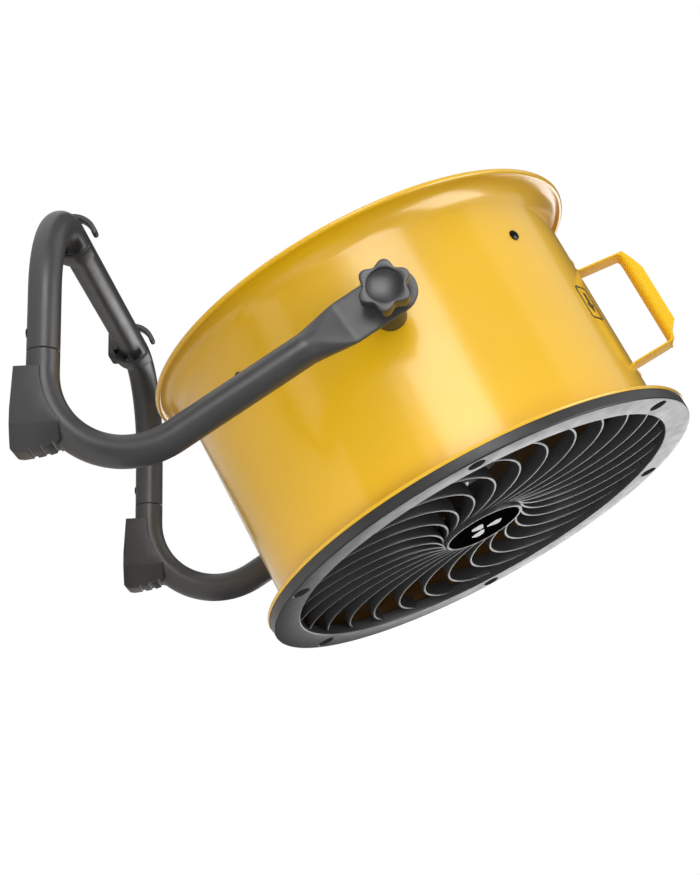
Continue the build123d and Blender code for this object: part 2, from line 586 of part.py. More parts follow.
def control_parts():
    """Round control box behind the motor, with its switch reached through the guard."""
    front = BRACKET_Z - 1.5
    box = rod(BOX_R, BOX_BACK, front) - rod(BOX_R - 2.5, BOX_BACK - 1, front - 2.5)
    box -= [r * Pos(50, 0, 0) * rod(7.5, front - 9, front + 1) for r in around(4)]
    corners = [r * Pos(BOX_R - 5.5, 0, 0) for r in around(3, 45)]
    box = fused(box, [p * rod(4, BOX_BACK, front) for p in corners])
    box -= [p * rod(1.5 + FIT, BOX_BACK - 1, BOX_BACK + 12) for p in corners]
    gland_at = Rot(0, 0, GLAND_AT) * Pos(GLAND_R, 0, BOX_BACK - 2.5) * Rot(180, 0, 0)
    gland = pipe(8, 4.5, -2.3, 0.5) + pipe(11.5, 4.5, 0.05, 6.5) + pipe(10, 4.5, 6.5, 17.5)
    gland = chamfer(gland.edges().group_by(Axis.Z)[-1].filter_by(GeomType.CIRCLE).sort_by(SortBy.LENGTH)[-1], 2.5)
    cover = rod(BOX_R, BOX_BACK - 2.5, BOX_BACK)
    cover = fillet(cover.edges().group_by(Axis.Z)[0], 1.2)
    cover -= rod(4 + FIT, BOX_BACK - 5, BOX_BACK + 5)
    cover -= [p * rod(1.5 + FIT, BOX_BACK - 5, BOX_BACK + 5) for p in corners]
    cover -= gland_at * rod(8 + FIT, -6, 1)
    small = pan_screw(1.5, 9, 2.8, 1.6)
    screws = [p * Pos(0, 0, BOX_BACK - 2.5) * Rot(180, 0, 0) * small for p in corners]
    switch = Pos(0, 0, BOX_BACK + 12) * Box(30, 30, 24) - rod(4 + FIT, BOX_BACK - 1, BOX_BACK + 30)
    can = Pos(0, 28, 0) * rod(12, BOX_BACK + 6, front - 6)
    can = fillet(can.edges(), 1.5)
    grip = rod(17, BOX_BACK - 17, BOX_BACK - 3)
    grip = fillet(grip.edges().group_by(Axis.Z)[0], 2)
    pointer = Pos(0, 13, BOX_BACK - 18) * Box(2.4, 7, 2.6)
    grip = grip + rod(4, BOX_BACK - 4, BOX_BACK + 18) + pointer
    return {
        "control_box": box,
        "cable_gland": gland_at * gland,
        "control_cover": cover,
        "cover_screws": compound(screws, "cover_screws"),
        "rotary_switch": switch,
        "run_capacitor": can,
        "speed_knob": grip,
    }


# ---------------------------------------------------------------- tilt clamps
EYE_IN = RAIL_X - EYE_T / 2
EYE_OUT = RAIL_X + EYE_T / 2
WASHER_IN = EYE_OUT + 0.05
KNOB_IN = WASHER_IN + WASHER_T + 0.05
KNOB_OUT = KNOB_IN + 24


def star(radius):
    """Six-lobed outline with softened valleys."""
    lobes = [r * Pos(radius - KNOB_LOBE_R, 0) * Circle(KNOB_LOBE_R) for r in around(KNOB_LOBES)]
    outline = Circle(radius - KNOB_LOBE_R) + lobes
    return fillet(outline.vertices(), 4)


def star_knob():
    """Built on Z with its seat at z = 0 and its dished face at the top."""
    high = KNOB_OUT - KNOB_IN
    head = Pos(0, 0, high - 16) * extrude(star(KNOB_R), 16)
    head = fillet(head.edges().group_by(Axis.Z)[-1], 2.5)
    head = fillet(head.edges().group_by(Axis.Z)[0], 1.5)
    boss = Cone(15, 18, high - 15, align=(Align.CENTER, Align.CENTER, Align.MIN))
    dish_r = 17.0
    dish_deep = 3.0
    ball = (dish_r ** 2 + dish_deep ** 2) / (2 * dish_deep)
    body = head + boss
    body -= Pos(0, 0, high - dish_deep + ball) * Sphere(ball)
    body -= rod(STUD_R + FIT, -1, 18)
    return body - Pos(0, 0, -1) * extrude(RegularPolygon(8, 6), 16)


def clamp_parts(name, s):
    turn = Rot(0, 90 * s, 0)
    aim = Rot(0, 0, s * TILT)           # one lobe points straight forward at rest

    def place(shape, at):
        return turn * Pos(0, 0, at) * shape

    spacer = rod(SPACER_R, DRUM_R - 6, EYE_IN - 0.05) + rod(EYE_HOLE_R - FIT, EYE_IN - 1, EYE_OUT - 0.3)
    spacer = turn * spacer - rod(DRUM_R + 0.05, -60, 60)
    spacer -= along_x(rod(STUD_R + FIT, -400, 400))
    doubler = pipe(INNER_R - 0.05, INNER_R - 3, -32, 32) & (turn * Pos(0, 0, 200) * Box(70, 70, 60))
    doubler -= along_x(rod(STUD_R + FIT, -400, 400))
    head_top = INNER_R - 3 - 0.35
    bolt = rod(STUD_R, head_top - 1, KNOB_IN + 16) + rod(10, head_top - 5, head_top)
    bolt = chamfer(bolt.edges().group_by(Axis.Z)[-1], 0.8)
    washer = pipe(13.5, STUD_R + FIT, 0, WASHER_T)
    insert = extrude(RegularPolygon(8 - FIT, 6), 14) - rod(STUD_R + FIT, -1, 20)
    return {
        name + "_spacer": spacer,
        name + "_pivot_doubler": doubler,
        name + "_pivot_bolt": turn * bolt,
        name + "_clamp_washer": place(washer, WASHER_IN),
        name + "_knob": place(aim * star_knob(), KNOB_IN),
        name + "_knob_insert": place(aim * insert, KNOB_IN + 0.5),
    }


# ---------------------------------------------------------------- all parts, one STEP file each
def drum_parts():
    parts = {
        "drum_housing": drum_housing(),
        "front_grille": front_grille(),
        "hub_badge": hub_badge(),
        "grille_screws": grille_screws(),
        "drum_label": drum_label(),
        "handle": handle(),
        "handle_screws": handle_screws(),
        "rear_guard": rear_guard(),
        "side_screws": side_screws(),
        "motor_bracket": motor_bracket(),
    }
    parts.update(motor_parts())
    parts.update(rotor_parts())
    parts.update(control_parts())
    for name, s in SIDES:
        parts.update(clamp_parts(name, s))
    return {node: DRUM * shape for node, shape in parts.items()}


os.makedirs("parts", exist_ok=True)
everything = stand_parts()
everything.update(drum_parts())
for node, shape in everything.items():
    export_step(Pos(0, SHIFT_Y, 0) * shape, "parts/" + node + ".step")
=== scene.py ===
import json
from math import atan2, cos, degrees, hypot, pi, radians, sin, sqrt, tan
import bmesh
import bpy
from mathutils import Matrix, Vector


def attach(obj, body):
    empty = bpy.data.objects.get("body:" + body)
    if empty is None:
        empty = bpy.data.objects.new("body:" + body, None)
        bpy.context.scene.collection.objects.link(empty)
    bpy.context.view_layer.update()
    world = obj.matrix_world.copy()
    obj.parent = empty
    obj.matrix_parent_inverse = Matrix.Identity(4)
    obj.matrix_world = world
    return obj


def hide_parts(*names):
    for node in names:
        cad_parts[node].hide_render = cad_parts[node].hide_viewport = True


# Drum fan on a bent-tube stand.  Pieces are drawn in millimetres, in one of two places:
# WORLD has the frame's own axes; DRUM has x to the right, y towards the drum's top and z along
# the air, with its origin on the tilt axis.
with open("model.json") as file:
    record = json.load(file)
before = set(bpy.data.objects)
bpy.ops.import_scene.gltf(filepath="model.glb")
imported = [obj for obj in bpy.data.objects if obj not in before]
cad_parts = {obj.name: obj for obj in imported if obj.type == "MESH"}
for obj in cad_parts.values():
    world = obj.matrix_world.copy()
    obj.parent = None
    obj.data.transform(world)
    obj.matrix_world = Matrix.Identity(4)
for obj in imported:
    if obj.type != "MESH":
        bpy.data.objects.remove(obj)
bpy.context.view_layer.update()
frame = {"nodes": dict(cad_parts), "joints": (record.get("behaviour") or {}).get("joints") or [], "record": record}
nodes = frame["nodes"]
joints = {joint["name"]: joint for joint in frame["joints"]}

MM = 0.001
PIVOT = Vector(joints["drum_tilt"]["pos_m"])
AIR = Vector(joints["fan_spin"]["axis"]).normalized()
RIGHT = Vector((1, 0, 0))
TOP = AIR.cross(RIGHT)
TILT = degrees(atan2(AIR.z, -AIR.y))
WORLD = Matrix.Scale(MM, 4)
DRUM = Matrix.Translation(PIVOT) @ Matrix((RIGHT, TOP, AIR)).transposed().to_4x4() @ WORLD
PIVOT_Y = PIVOT.y / MM
PIVOT_Z = PIVOT.z / MM
SIDES = (("left", -1), ("right", 1))

# stand, in millimetres
TUBE_R = 15.9
RAIL_X = 267.0
RAIL_Z = 26.0
ARM_SLOPE = radians(57.5)
FRONT_BEND_R = 81.0
REAR_BEND_R = 96.0
REAR_BAR_Y = PIVOT_Y + 123.0
JOINT_Y = PIVOT_Y - 38.0
EYE_T = 4.4
EYE_R = 23.0
EYE_FLAT = 46.0
EYE_ROUND = 90.0
EYE_BEYOND = 8.0
CLIP_X = 157.0
CLIP_W = 24.0
CLIP_R_IN = 21.0
CLIP_R_OUT = 24.5
SLIT_X = CLIP_X - 17
SLEEVE_R = TUBE_R - 1.4
SLEEVE_REACH = 6

# drum, in millimetres; angles in degrees
DRUM_R = 216.6
DRUM_WALL = 1.5
INNER_R = DRUM_R - DRUM_WALL
FLARE_START = -77.6
FLARE_R = 24.0
FLARE_CENTRE = (DRUM_R + FLARE_R, FLARE_START)
BEAD_R = 3.0
BEAD_AT = (239.0, -101.0)
GRILLE_FACE = 173.7
GRILLE_BACK = 162.7
FLANGE_R = 241.0
RING_R = 240.1
RING_OPEN_R = 210.9
SCREW_CIRCLE_R = 227.4
POCKET_R = 8.5
POCKET_DEEP = 6
RIBS = 28
RIB_PHASE = 6.9
RIB_ARC_R = 93.0
RIB_ARC_OFFSET = 138.3
RIB_FROM = -181.0
RIB_TO = -48.6
RIB_FRONT = GRILLE_FACE - 4.5
RIB_W = 3.2
RIB_DEEP = 15.0
HUB_R = 44.5
BADGE_R = 40.5
SIDE_SCREW_S = -39.0
HANDLE_SCREW_X = 6.5
LABEL_AT = 115.5
LABEL_S = 40.0
GRIP_UNDER = 266.0
GRIP_BACK = -22.0
GRIP_FRONT = 91.5
GRIP_DEEP = 14.5
GRIP_BEND = 5.5
STRAP_W = 25.0
STRAP_T = 2.0
STRAP_FOOT = 25.5
STRAP_BEND_R = 4.2
SPACER_R = 16.0
LOBE_R = 23.3
LOBE_SWING = 2.9
EYE_OUT = RAIL_X + EYE_T / 2
KNOB_IN = EYE_OUT + 2.1
GUARD_S = -99.5
GUARD_IN_R = 53.0
GUARD_OUT_R = 223.0
GUARD_RINGS = 15
BOX_R = 48.0
BOX_BACK = -98.0
BRACKET_S = -28.0
GLAND_AT = 225
GLAND_CIRCLE_R = 33
GLAND_BORE_R = 4.5
BLADES = 5
BLADE_TIP_R = 205.0
BLADE_MID = 88.0
FAN_HUB_R = 55.0
HUB_BACK = 66.0
HUB_FRONT = 112.0
HUB_BORE_R = 7.6

# camera: where it stands, what it looks at, and how far it is rolled from level
CAMERA_AT = Vector((-2.0611, -0.6818, 0.4687))
LOOK_AT = Vector((0.0009, -0.0192, 0.2892))
CAMERA_ROLL = radians(87.19)
LENS = 85.4


# ---------------------------------------------------------------- materials
def node_material(name, color, rough, spec=0.5, metal=0.0, coat=0.0, coat_rough=0.1):
    """A principled material with its even values on the shader's own sockets."""
    mat = bpy.data.materials.new(name)
    mat.use_nodes = True
    shader = mat.node_tree.nodes["Principled BSDF"]
    shader.inputs["Base Color"].default_value = (*color, 1)
    shader.inputs["Roughness"].default_value = rough
    shader.inputs["Metallic"].default_value = metal
    shader.inputs["Specular IOR Level"].default_value = spec
    shader.inputs["Coat Weight"].default_value = coat
    shader.inputs["Coat Roughness"].default_value = coat_rough
    return mat


def noise_into(mat, scale, detail=3.0, stretch=(1, 1, 1)):
    """Adds object-space noise and returns its factor output."""
    tree = mat.node_tree
    coords = tree.nodes.new("ShaderNodeTexCoord")
    mapping = tree.nodes.new("ShaderNodeMapping")
    mapping.inputs["Scale"].default_value = stretch
    noise = tree.nodes.new("ShaderNodeTexNoise")
    noise.inputs["Scale"].default_value = scale
    noise.inputs["Detail"].default_value = detail
    tree.links.new(coords.outputs["Object"], mapping.inputs["Vector"])
    tree.links.new(mapping.outputs["Vector"], noise.inputs["Vector"])
    return noise.outputs["Fac"]


def ramp(mat, source, socket, low, high, start=0.3, end=0.7):
    """Drives a shader socket from a factor, between two colours or two numbers."""
    tree = mat.node_tree
    node = tree.nodes.new("ShaderNodeValToRGB")
    first, last = node.color_ramp.elements
    first.position, last.position = start, end
    first.color = (*low, 1) if isinstance(low, tuple) else (low, low, low, 1)
    last.color = (*high, 1) if isinstance(high, tuple) else (high, high, high, 1)
    tree.links.new(source, node.inputs["Fac"])
    shader = tree.nodes["Principled BSDF"]
    tree.links.new(node.outputs["Color"], shader.inputs[socket])


def bump(mat, source, strength, distance):
    """Bump from a factor; a second call adds to the first."""
    tree = mat.node_tree
    shader = tree.nodes["Principled BSDF"]
    node = tree.nodes.new("ShaderNodeBump")
    node.inputs["Strength"].default_value = strength
    node.inputs["Distance"].default_value = distance
    tree.links.new(source, node.inputs["Height"])
    before = shader.inputs["Normal"].links
    if before:
        tree.links.new(before[0].from_socket, node.inputs["Normal"])
    tree.links.new(node.outputs["Normal"], shader.inputs["Normal"])


def shade(color, factor):
    return tuple(min(1.0, c * factor) for c in color)


def powder_coat(name, color, rough, grain, grain_depth, vary=0.06, coat=0.0, spec=0.5):
    """Sprayed powder: orange peel from fine noise, and slow drift in colour and gloss."""
    mat = node_material(name, color, rough, spec=spec, coat=coat, coat_rough=0.16)
    slow = noise_into(mat, 6, 2)
    ramp(mat, slow, "Base Color", shade(color, 1 - vary), shade(color, 1 + vary))
    ramp(mat, noise_into(mat, 35, 4), "Roughness", rough - 0.04, rough + 0.05)
    bump(mat, noise_into(mat, grain, 2), 0.35, grain_depth)
    return mat


def moulded(name, color, rough, grain=1500, grain_depth=0.00008, spec=0.5):
    """Moulded plastic or rubber with a spark-eroded grain."""
    mat = node_material(name, color, rough, spec=spec)
    ramp(mat, noise_into(mat, 18, 4), "Base Color", shade(color, 0.88), shade(color, 1.12))
    ramp(mat, noise_into(mat, 60, 3), "Roughness", rough - 0.05, rough + 0.05)
    bump(mat, noise_into(mat, grain, 2), 0.5, grain_depth)
    return mat


def metal_finish(name, color, rough, stretch=(1, 1, 1), grain=900):
    mat = node_material(name, color, rough, metal=1.0)
    ramp(mat, noise_into(mat, 40, 3), "Base Color", shade(color, 0.85), shade(color, 1.08))
    ramp(mat, noise_into(mat, 120, 4, stretch), "Roughness", rough - 0.07, rough + 0.1)
    bump(mat, noise_into(mat, grain, 2, stretch), 0.25, 0.00004)
    return mat


def copper_windings():
    """Enamelled wire: fine parallel turns as bump."""
    mat = node_material("copper windings", (0.55, 0.2, 0.07), 0.3, metal=1.0, coat=0.6)
    tree = mat.node_tree
    coords = tree.nodes.new("ShaderNodeTexCoord")
    wave = tree.nodes.new("ShaderNodeTexWave")
    wave.inputs["Scale"].default_value = 260
    wave.inputs["Distortion"].default_value = 1.5
    tree.links.new(coords.outputs["Object"], wave.inputs["Vector"])
    bump(mat, wave.outputs["Fac"], 0.6, 0.0004)
    ramp(mat, wave.outputs["Fac"], "Base Color", (0.4, 0.13, 0.04), (0.62, 0.25, 0.09), 0.1, 0.9)
    return mat


YELLOW = powder_coat("yellow powder coat", (0.785, 0.452, 0.003), 0.34, 420, 0.00006, 0.02, coat=1.0)
# painted shade: the same yellow, darkened to stand in for the shade inside the drum
PAINTED_SHADE_INSIDE = powder_coat("painted shade: dark yellow inside the drum", (0.07, 0.03, 0.001), 0.6, 420, 0.00006, 0.1)
HANDLE = powder_coat("yellow powder coat on the handle", (0.8, 0.5, 0.02), 0.6, 420, 0.000004, 0.02,
                     spec=0.1)
STAND = powder_coat("grey powder coat", (0.045, 0.045, 0.046), 0.36, 900, 0.0002, 0.12, spec=0.8)
FOOT = moulded("foot rubber", (0.03, 0.03, 0.031), 0.4, 700, 0.00015, spec=0.8)
GRILLE = moulded("grille plastic", (0.035, 0.035, 0.036), 0.36, 1300, 0.00009, spec=0.6)
BADGE = moulded("badge film", (0.002, 0.002, 0.002), 0.9, 300, 0.00001, spec=0.0)
MARK = moulded("badge mark", (0.8, 0.8, 0.79), 0.5, 800, 0.00002, spec=0.1)
LABEL = moulded("label film", (0.035, 0.034, 0.032), 0.3, 500, 0.00003)
KNOB = moulded("knob plastic", (0.026, 0.026, 0.027), 0.3, 1400, 0.00008, spec=0.8)
SPACER = moulded("spacer plastic", (0.03, 0.029, 0.028), 0.4, 1200, 0.00008)
SCREW = metal_finish("black oxide screw", (0.06, 0.06, 0.062), 0.34)
ZINC = metal_finish("zinc plate", (0.62, 0.63, 0.65), 0.3)
WIRE = powder_coat("black dip coat", (0.02, 0.02, 0.021), 0.4, 700, 0.0001, 0.1)
CAST = metal_finish("cast aluminium", (0.5, 0.5, 0.51), 0.5, grain=500)
MOTOR = powder_coat("motor enamel", (0.05, 0.05, 0.055), 0.4, 600, 0.0002, 0.1)
CORE = metal_finish("laminated steel", (0.3, 0.3, 0.31), 0.45, (1, 8, 1))
BEARING = metal_finish("ground steel", (0.66, 0.66, 0.68), 0.22)
COPPER = copper_windings()
FAN = moulded("impeller plastic", (0.03, 0.03, 0.031), 0.45, 900, 0.0001)
CONTROL = moulded("control box plastic", (0.035, 0.035, 0.036), 0.5, 1600, 0.00012)
WHITE = moulded("capacitor can", (0.6, 0.6, 0.57), 0.45, 500, 0.00005)

SLOT_MATERIALS = {
    "drum_yellow": YELLOW, "stand_grey": STAND, "foot_black": FOOT, "grille_black": GRILLE,
    "badge_black": BADGE, "label_dark": LABEL, "knob_black": KNOB, "screw_black": SCREW,
    "zinc_steel": ZINC, "wire_black": WIRE, "motor_cast": CAST, "motor_grey": MOTOR,
    "core_steel": CORE, "bearing_steel": BEARING, "copper_wire": COPPER, "impeller_black": FAN,
    "control_black": CONTROL, "capacitor_white": WHITE,
}
NODE_SLOTS = {part["node"]: part["material_slot"] for part in frame["record"]["subparts"]}


# ---------------------------------------------------------------- mesh helpers
def soften(mesh, angle=32):
    """Smooth shading, with edges sharper than the angle kept crisp."""
    mesh.polygons.foreach_set("use_smooth", [True] * len(mesh.polygons))
    mesh.set_sharp_from_angle(angle=radians(angle))
    mesh.update()


def new_object(name, mesh):
    obj = bpy.data.objects.new(name, mesh)
    bpy.context.scene.collection.objects.link(obj)
    return obj


def from_lists(name, points, faces):
    """A mesh object with doubled points welded and its faces turned outwards."""
    mesh = bpy.data.meshes.new(name)
    mesh.from_pydata([tuple(p) for p in points], [], faces)
    work = bmesh.new()
    work.from_mesh(mesh)
    bmesh.ops.remove_doubles(work, verts=work.verts, dist=0.0005)
    bmesh.ops.dissolve_degenerate(work, edges=work.edges, dist=0.0005)
    bmesh.ops.recalc_face_normals(work, faces=work.faces)
    work.to_mesh(mesh)
    work.free()
    return new_object(name, mesh)


def evaluated(obj):
    """Applies an object's modifiers, or turns a curve into a mesh."""
    bpy.context.view_layer.update()
    graph = bpy.context.evaluated_depsgraph_get()
    mesh = bpy.data.meshes.new_from_object(obj.evaluated_get(graph))
    name = obj.name
    bpy.data.objects.remove(obj)
    return new_object(name, mesh)


def move(obj, matrix):
    obj.data.transform(matrix)
    return obj


def copies(obj, matrices):
    """Replaces an object by copies of itself in one mesh."""
    mesh = bpy.data.meshes.new(obj.name)
    work = bmesh.new()
    for matrix in matrices:
        part = obj.data.copy()
        part.transform(matrix)
        work.from_mesh(part)
        bpy.data.meshes.remove(part)
    work.to_mesh(mesh)
    work.free()
    obj.data = mesh
    return obj


def joined(name, objects):
    """One object holding all the given meshes."""
    work = bmesh.new()
    for obj in objects:
        work.from_mesh(obj.data)
        bpy.data.objects.remove(obj)
    mesh = bpy.data.meshes.new(name)
    work.to_mesh(mesh)
    work.free()
    return new_object(name, mesh)


def boolean(obj, tool, operation="DIFFERENCE"):
    step = obj.modifiers.new("cut", "BOOLEAN")
    step.operation = operation
    step.solver = "EXACT"
    step.object = tool
    result = evaluated(obj)
    bpy.data.objects.remove(tool)
    return result


def bevelled(obj, width, segments=3, angle=35):
    step = obj.modifiers.new("bevel", "BEVEL")
    step.width = width
    step.segments = segments
    step.limit_method = "ANGLE"
    step.angle_limit = radians(angle)
    step.harden_normals = False
    return evaluated(obj)


def piece(obj, place, body, material, replaces=(), angle=32):
    """Puts a finished mesh in its place and on its body, and hides the CAD nodes it stands for."""
    obj.data.transform(place)
    if place.determinant() < 0:
        obj.data.flip_normals()
    obj.data.materials.clear()
    obj.data.materials.append(material)
    soften(obj.data, angle)
    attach(obj, body)
    if replaces:
        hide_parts(*replaces)
    return obj


def turn(angle, axis="Z"):
    return Matrix.Rotation(radians(angle), 4, axis)


def shift(x=0.0, y=0.0, z=0.0):
    return Matrix.Translation((x, y, z))


def arc(center, radius, start, end, steps):
    """Points on an arc; angles in degrees."""
    angles = [radians(start + (end - start) * i / steps) for i in range(steps + 1)]
    return [(center[0] + radius * cos(a), center[1] + radius * sin(a)) for a in angles]


def lathe(name, profile, steps=192):
    """Turns a closed (radius, height) profile about Z; points on the axis are welded."""
    points = []
    for i in range(steps):
        a = 2 * pi * i / steps
        points += [(r * cos(a), r * sin(a), z) for r, z in profile]
    n = len(profile)
    faces = []
    for i in range(steps):
        this, other = i * n, (i + 1) % steps * n
        faces += [(this + j, other + j, other + (j + 1) % n, this + (j + 1) % n) for j in range(n)
                  if profile[j][0] > 1e-6 or profile[(j + 1) % n][0] > 1e-6]
    return from_lists(name, points, faces)


def skin(name, rings, closed=False):
    """Joins rings of equal length; open strings of rings get flat caps."""
    n = len(rings[0])
    points = [p for ring in rings for p in ring]
    faces = []
    count = len(rings)
    for i in range(count if closed else count - 1):
        this, other = i * n, (i + 1) % count * n
        faces += [(this + j, this + (j + 1) % n, other + (j + 1) % n, other + j) for j in range(n)]
    if not closed:
        faces += [tuple(range(n)), tuple(range((count - 1) * n, count * n))]
    return from_lists(name, points, faces)


def plate(name, outlines, low, high, bevel=0.4):
    """A flat plate between two heights; the first outline is its edge and the rest are holes."""
    curve = bpy.data.curves.new(name, "CURVE")
    curve.dimensions = "2D"
    curve.fill_mode = "BOTH"
    curve.extrude = (high - low) / 2 - bevel
    curve.bevel_depth = bevel
    curve.bevel_resolution = 2
    curve.offset = -bevel
    for outline in outlines:
        spline = curve.splines.new("POLY")
        spline.points.add(len(outline) - 1)
        for point, (x, y) in zip(spline.points, outline):
            point.co = (x, y, 0, 1)
        spline.use_cyclic_u = True
    obj = evaluated(new_object(name, curve))
    obj.data.transform(shift(z=(low + high) / 2))
    work = bmesh.new()
    work.from_mesh(obj.data)
    bmesh.ops.remove_doubles(work, verts=work.verts, dist=0.001)
    bmesh.ops.recalc_face_normals(work, faces=work.faces)
    work.to_mesh(obj.data)
    work.free()
    return obj


def rounded(corners, radius, steps=6):
    """A closed outline with its corners rounded; radius is one number or one for each corner."""
    out = []
    count = len(corners)
    for i, here in enumerate(corners):
        r = radius[i] if isinstance(radius, (list, tuple)) else radius
        before, after = Vector(corners[i - 1]), Vector(corners[(i + 1) % count])
        point = Vector(here)
        into, away = (before - point).normalized(), (after - point).normalized()
        half = into.angle(away) / 2
        if r <= 0 or half > radians(88):
            out.append(tuple(point))
            continue
        back = min(r / tan(half), (before - point).length * 0.49, (after - point).length * 0.49)
        r = back * tan(half)
        center = point + (into + away).normalized() * (r / sin(half))
        a, b = point + into * back - center, point + away * back - center
        start = atan2(a.y, a.x)
        span = (atan2(b.y, b.x) - start + pi) % (2 * pi) - pi
        angles = [start + span * k / steps for k in range(steps + 1)]
        out += [(center.x + r * cos(a), center.y + r * sin(a)) for a in angles]
    return out


def circle(radius, steps=48, center=(0, 0)):
    angles = [2 * pi * i / steps for i in range(steps)]
    return [(center[0] + radius * cos(a), center[1] + radius * sin(a)) for a in angles]


def oblong(half_x, half_y):
    """The corners of a rectangle about the origin."""
    return [(-half_x, -half_y), (half_x, -half_y), (half_x, half_y), (-half_x, half_y)]


def polar(radius, angle):
    return (radius * cos(radians(angle)), radius * sin(radians(angle)))


def rod(name, radius, low, high, steps=48, edge=0.5):
    """A solid cylinder with softened ends."""
    edge = min(edge, radius * 0.45, (high - low) * 0.45)
    profile = [(0, low)] + arc((radius - edge, low + edge), edge, -90, 0, 4)
    profile += arc((radius - edge, high - edge), edge, 0, 90, 4) + [(0, high)]
    return lathe(name, profile, steps)


def cross_screw(name, head_r, head_h, shank_r, shank):
    """Pan-head screw on Z, head above zero, with a cross recess."""
    dome = arc((0, head_h - head_r * 1.6), head_r * 1.6, 90, 56, 8)
    reach, shoulder = dome[-1]
    profile = [(0, -shank), (shank_r, -shank), (shank_r, 0), (head_r * 0.97, 0), (head_r, 0.3)]
    profile += [(head_r, shoulder * 0.55), (reach + (head_r - reach) * 0.6, shoulder * 0.92)]
    screw = lathe(name, profile + dome[::-1], 40)
    for angle in (0, 90):
        bar = plate("bar", [oblong(head_r * 0.62, head_r * 0.13)], head_h * 0.35, head_h + 2, 0.05)
        screw = boolean(screw, move(bar, turn(angle)))
    return screw


def sweep(name, path, side, outlines):
    """Carries cross-sections along a path that lies in the plane square to side.

    outlines is one list of (across, up) points, or one such list for each path point."""
    side = Vector(side)
    path = [Vector(p) for p in path]
    single = isinstance(outlines[0][0], (int, float))
    rings = []
    for i, at in enumerate(path):
        ahead = path[min(i + 1, len(path) - 1)]
        behind = path[max(i - 1, 0)]
        up = side.cross((ahead - behind).normalized())
        outline = outlines if single else outlines[i]
        rings.append([at + side * u + up * v for u, v in outline])
    return skin(name, rings)


def squircle(half_u, half_v, power, steps=64):
    """Cross-section between an ellipse, at power 2, and a rounded rectangle, at higher powers."""
    out = []
    for c, s in circle(1, steps):
        out.append((half_u * (1 if c >= 0 else -1) * abs(c) ** (2 / power),
                    half_v * (1 if s >= 0 else -1) * abs(s) ** (2 / power)))
    return out


# ---------------------------------------------------------------- stand
RISE = PIVOT_Z - RAIL_Z
BEND_F = ((RISE - FRONT_BEND_R) * cos(ARM_SLOPE) - FRONT_BEND_R) / sin(ARM_SLOPE)
BEND_Z = RAIL_Z + FRONT_BEND_R


def arm_centre_line(x, start_y, stop):
    """Points along an arm tube, and how far each is from the tilt axis, up to stop from it."""
    points = [(start_y, RAIL_Z)]
    top = 90 - degrees(ARM_SLOPE)
    points += [(PIVOT_Y - BEND_F - c, BEND_Z + s) for c, s in arc((0, 0), FRONT_BEND_R, -90, top, 40)]
    reach = hypot(points[-1][0] - PIVOT_Y, points[-1][1] - PIVOT_Z)
    marks = [reach - 30, EYE_ROUND + 40, EYE_ROUND + 6]
    marks += [EYE_ROUND + (EYE_FLAT - EYE_ROUND) * i / 12 for i in range(13)] + [EYE_FLAT - 4, 20, 0]
    marks += [-EYE_BEYOND - EYE_R * sin(radians(a)) for a in (0, 12, 24, 36, 48, 58, 67, 75, 82, 87)]
    marks = [mark for mark in marks if mark >= stop]
    points += [(PIVOT_Y - cos(ARM_SLOPE) * m, PIVOT_Z - sin(ARM_SLOPE) * m) for m in marks]
    lengths = [EYE_ROUND + 100] * (len(points) - len(marks)) + marks
    return [Vector((x, y, z)) for y, z in points], lengths


def arm_tube(name, x):
    """Side tube that bends up at the front and ends in a flattened eye on the tilt axis."""
    path, lengths = arm_centre_line(x, JOINT_Y, -EYE_R - EYE_BEYOND)
    path.insert(1, path[0] + Vector((0, -0.7, 0)))
    lengths.insert(1, lengths[0])
    outlines = []
    for length in lengths:
        flat = min(1, max(0, (EYE_ROUND - length) / (EYE_ROUND - EYE_FLAT)))
        thick = TUBE_R + (EYE_T / 2 - TUBE_R) * flat
        wide = TUBE_R + (EYE_R - TUBE_R) * flat
        past = -length - EYE_BEYOND
        if past > 0:
            wide = max(1.2, sqrt(max(0, EYE_R ** 2 - past ** 2)))
        outlines.append(squircle(thick, wide, 2 + 5 * flat ** 3))
    outlines[0] = circle(TUBE_R - 0.7, 64)
    return sweep(name + "_arm_tube_skin", path, (1, 0, 0), outlines)


def base_tube():
    """Rear loop of the stand, slit beside the clips, with a sleeve inside each joint."""
    near = RAIL_X - REAR_BEND_R
    turn_y = REAR_BAR_Y - REAR_BEND_R
    start = JOINT_Y + 0.5
    path = [(-RAIL_X, start), (-RAIL_X, start + 0.7)]
    path += arc((-near, turn_y), REAR_BEND_R, 180, 90, 36)
    path += arc((near, turn_y), REAR_BEND_R, 90, 0, 36)
    path += [(RAIL_X, start + 0.7), (RAIL_X, start)]
    outlines = [circle(TUBE_R)] * len(path)
    outlines[0] = outlines[-1] = circle(TUBE_R - 0.7)
    tube = sweep("base_tube_skin", [(x, y, RAIL_Z) for x, y in path], (0, 0, 1), outlines)
    sleeves = []
    for _, s in SIDES:
        slit = plate("slit", [rounded(oblong(0.9, 4), 0.8)], 0, 6, 0.05)
        tube = boolean(tube, move(slit, shift(s * SLIT_X, REAR_BAR_Y, RAIL_Z + TUBE_R - 2.2)))
        sleeve = rod("sleeve", SLEEVE_R, -SLEEVE_REACH, SLEEVE_REACH, 64)
        sleeves.append(move(sleeve, shift(s * RAIL_X, JOINT_Y, RAIL_Z) @ turn(90, "X")))
    return joined("base_tube_skin", [tube] + sleeves)


